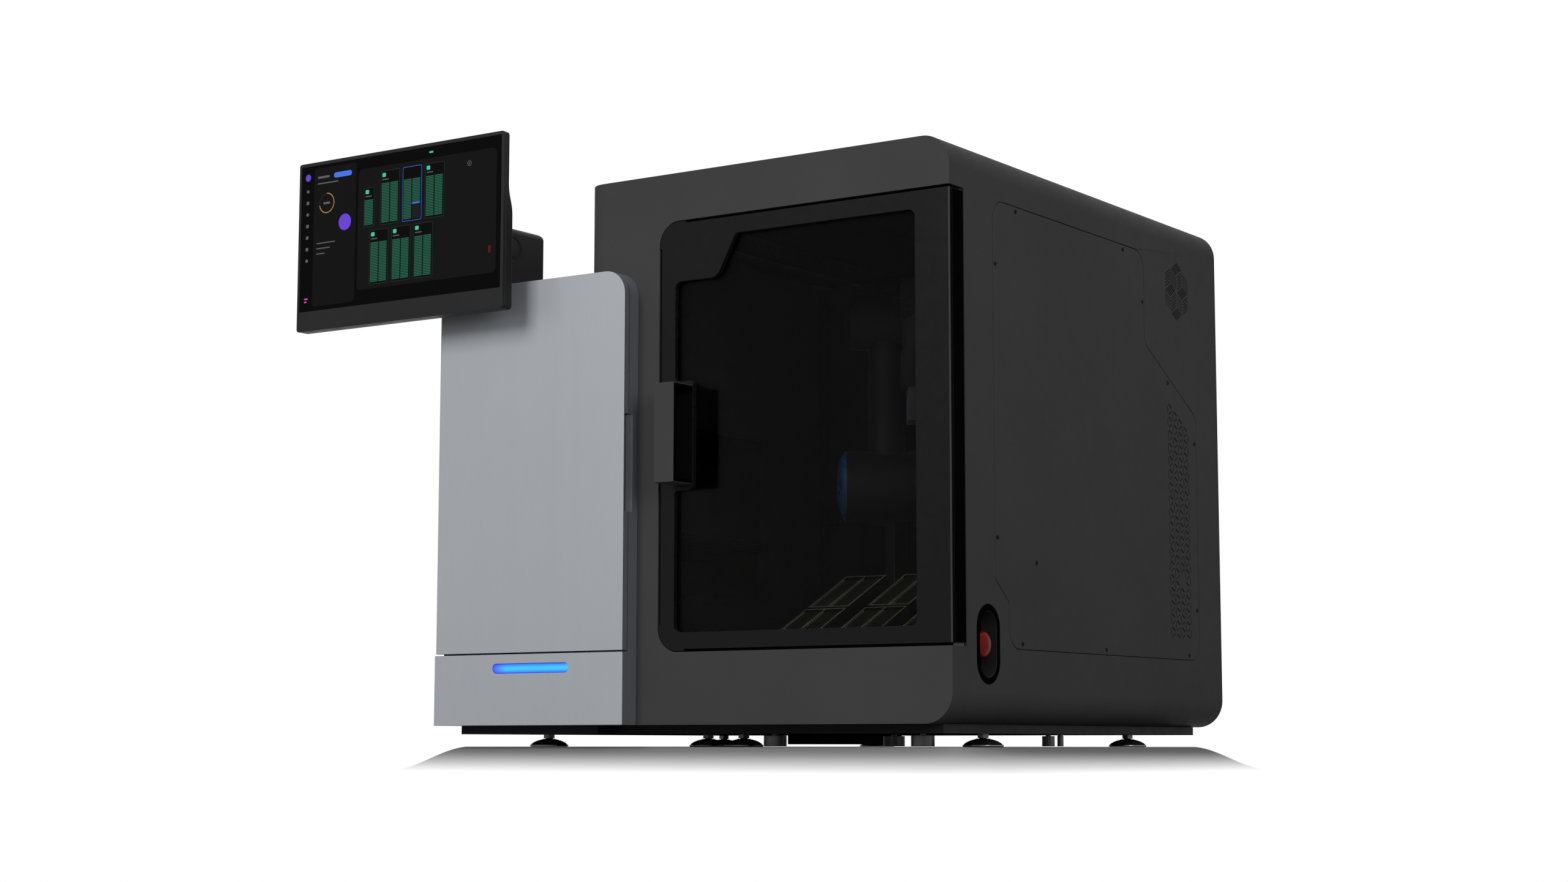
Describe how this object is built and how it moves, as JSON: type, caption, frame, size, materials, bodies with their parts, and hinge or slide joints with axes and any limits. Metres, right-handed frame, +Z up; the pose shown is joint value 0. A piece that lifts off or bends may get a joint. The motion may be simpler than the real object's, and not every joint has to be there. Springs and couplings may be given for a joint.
{
  "type": "digital slide scanner",
  "caption": "Benchtop slide scanner: glazed robot chamber with racked slides, loading pod with its own door, tilting touch display, recessed stop button and levelling feet.",
  "frame": {"origin": "middle of the footprint of the whole object, on the floor", "axes": "+X to the right as seen from the front, +Y to the back, +Z up"},
  "size_m": [0.9496, 0.797, 0.766],
  "materials": {
    "dark_paint": "fine satin powder coat",
    "door_paint": "smooth satin paint",
    "pod_paint": "satin paint",
    "pale_aluminium": "finely brushed, clear coat",
    "tinted_glass": "dark tinted, polished",
    "black_plastic": "fine moulded grain",
    "lit_screen": "glossy lit panel",
    "seal_rubber": "matt",
    "filter_foam": "open foam",
    "foot_chrome": "polished",
    "steel": "satin",
    "sheet_paint": "matt paint",
    "bare_aluminium": "machined",
    "rack_plastic": "moulded",
    "slide_glass": "clear",
    "robot_plastic": "satin moulded cover",
    "cap_blue": "glossy",
    "light_blue": "lit diffuser",
    "button_red": "translucent"
  },
  "bodies": {
    "cabinet": {"front_fascia": "dark_paint", "cabinet_shell": "dark_paint", "rear_cover": "dark_paint", "side_panel": "dark_paint", "vent_filter": "filter_foam", "fan_filter": "filter_foam", "cover_screws": "steel", "base_tray": "sheet_paint", "foot_rims": "foot_chrome", "foot_pads": "black_plastic", "levelling_studs": "steel", "levelling_nuts": "steel", "transport_posts": "foot_chrome", "supply_pan": "sheet_paint", "inner_frame": "bare_aluminium", "deck_plate": "sheet_paint", "bulkhead": "sheet_paint", "controller_box": "sheet_paint", "fan_frames": "black_plastic", "power_inlet": "black_plastic", "button_recess": "black_plastic", "rack_cradle": "bare_aluminium", "slide_racks": "rack_plastic", "glass_slides": "slide_glass", "robot_base": "robot_plastic", "scan_base": "bare_aluminium", "scan_column": "bare_aluminium", "door_hinge_brackets": "steel", "pod_shell": "pod_paint", "pod_lower_panel": "pale_aluminium", "status_light": "light_blue", "pod_shelves": "sheet_paint", "pod_hinge_brackets": "steel"},
    "main_door": {"door_frame": "door_paint", "door_glass": "tinted_glass", "glass_retainer": "black_plastic", "door_seal": "seal_rubber", "door_handle": "door_paint"},
    "pod_door": {"pod_door": "pale_aluminium", "pod_hinge_pins": "steel"},
    "display_base": {"swivel_block": "black_plastic"},
    "display": {"tilt_arm": "bare_aluminium", "pivot_discs": "black_plastic", "display_back": "black_plastic", "display_bezel": "black_plastic", "display_screen": "lit_screen"},
    "stop_button": {"stop_button": "button_red"},
    "power_switch": {"power_switch": "black_plastic"},
    "upper_fan": {"upper_fan_rotor": "black_plastic"},
    "lower_fan": {"lower_fan_rotor": "black_plastic"},
    "turret": {"robot_turret": "robot_plastic", "turret_cap": "cap_blue"},
    "upper_arm": {"robot_upper_arm": "robot_plastic", "arm_caps": "cap_blue"},
    "forearm": {"robot_forearm": "robot_plastic"},
    "gripper": {"robot_gripper": "robot_plastic"},
    "jaw_left": {"gripper_jaw_left": "bare_aluminium"},
    "jaw_right": {"gripper_jaw_right": "bare_aluminium"},
    "scan_stage": {"stage_table": "bare_aluminium"},
    "scan_head": {"focus_head": "sheet_paint"}
  },
  "joints": [
    {"name": "door_hinge", "type": "hinge", "parent": "cabinet", "child": "main_door", "pos_m": [0.46615, -0.3105, 0.3765], "axis": [0, 0, 1], "range_deg": [0, 110]},
    {"name": "pod_door_hinge", "type": "hinge", "parent": "cabinet", "child": "pod_door", "pos_m": [-0.26535, -0.342, 0.349], "axis": [0, 0, -1], "range_deg": [0, 90]},
    {"name": "display_swivel", "type": "hinge", "parent": "cabinet", "child": "display_base", "pos_m": [-0.22585, -0.3125, 0.584], "axis": [0, 0, -1], "range_deg": [0, 90]},
    {"name": "display_tilt", "type": "hinge", "parent": "display_base", "child": "display", "pos_m": [-0.21585, -0.3305, 0.63], "axis": [-1, 0, 0], "range_deg": [0, 20]},
    {"name": "stop_button_push", "type": "slide", "parent": "cabinet", "child": "stop_button", "axis": [-1, 0, 0], "range_m": [0, 0.005], "stiffness_N_per_m": 800},
    {"name": "power_switch_rock", "type": "hinge", "parent": "cabinet", "child": "power_switch", "pos_m": [0.33015, 0.3935, 0.092], "axis": [1, 0, 0], "range_deg": [-8, 8]},
    {"name": "upper_fan_spin", "type": "hinge", "parent": "cabinet", "child": "upper_fan", "pos_m": [0.46015, 0.2768, 0.601], "axis": [1, 0, 0], "continuous": true},
    {"name": "lower_fan_spin", "type": "hinge", "parent": "cabinet", "child": "lower_fan", "pos_m": [0.46015, 0.2775, 0.33], "axis": [1, 0, 0], "continuous": true},
    {"name": "robot_base_turn", "type": "hinge", "parent": "cabinet", "child": "turret", "pos_m": [0.28115, 0.0525, 0.3], "axis": [0, 0, 1], "range_deg": [-30, 10]},
    {"name": "robot_shoulder", "type": "hinge", "parent": "turret", "child": "upper_arm", "pos_m": [0.23141, 0.01895, 0.333], "axis": [-0.829, -0.5592, 0], "range_deg": [-8, 8]},
    {"name": "robot_elbow", "type": "hinge", "parent": "upper_arm", "child": "forearm", "pos_m": [0.2596, 0.03796, 0.545], "axis": [-0.829, -0.5592, 0], "range_deg": [-15, 12]},
    {"name": "robot_wrist", "type": "hinge", "parent": "forearm", "child": "gripper", "pos_m": [0.36025, -0.11127, 0.545], "axis": [-0.829, -0.5592, 0], "range_deg": [-20, 20]},
    {"name": "jaw_left_slide", "type": "slide", "parent": "gripper", "child": "jaw_left", "axis": [0.5592, -0.829, 0], "range_m": [0, 0.006]},
    {"name": "jaw_right_slide", "type": "slide", "parent": "gripper", "child": "jaw_right", "axis": [-0.5592, 0.829, 0], "range_m": [0, 0.006]},
    {"name": "stage_slide", "type": "slide", "parent": "cabinet", "child": "scan_stage", "axis": [0, -1, 0], "range_m": [0, 0.04]},
    {"name": "focus_slide", "type": "slide", "parent": "cabinet", "child": "scan_head", "axis": [0, 0, 1], "range_m": [-0.03, 0.03]}
  ],
  "couplings": [
    {"joint": "display_swivel", "follows": "pod_door_hinge", "ratio": 1},
    {"joint": "jaw_right_slide", "follows": "jaw_left_slide", "ratio": 1}
  ]
}
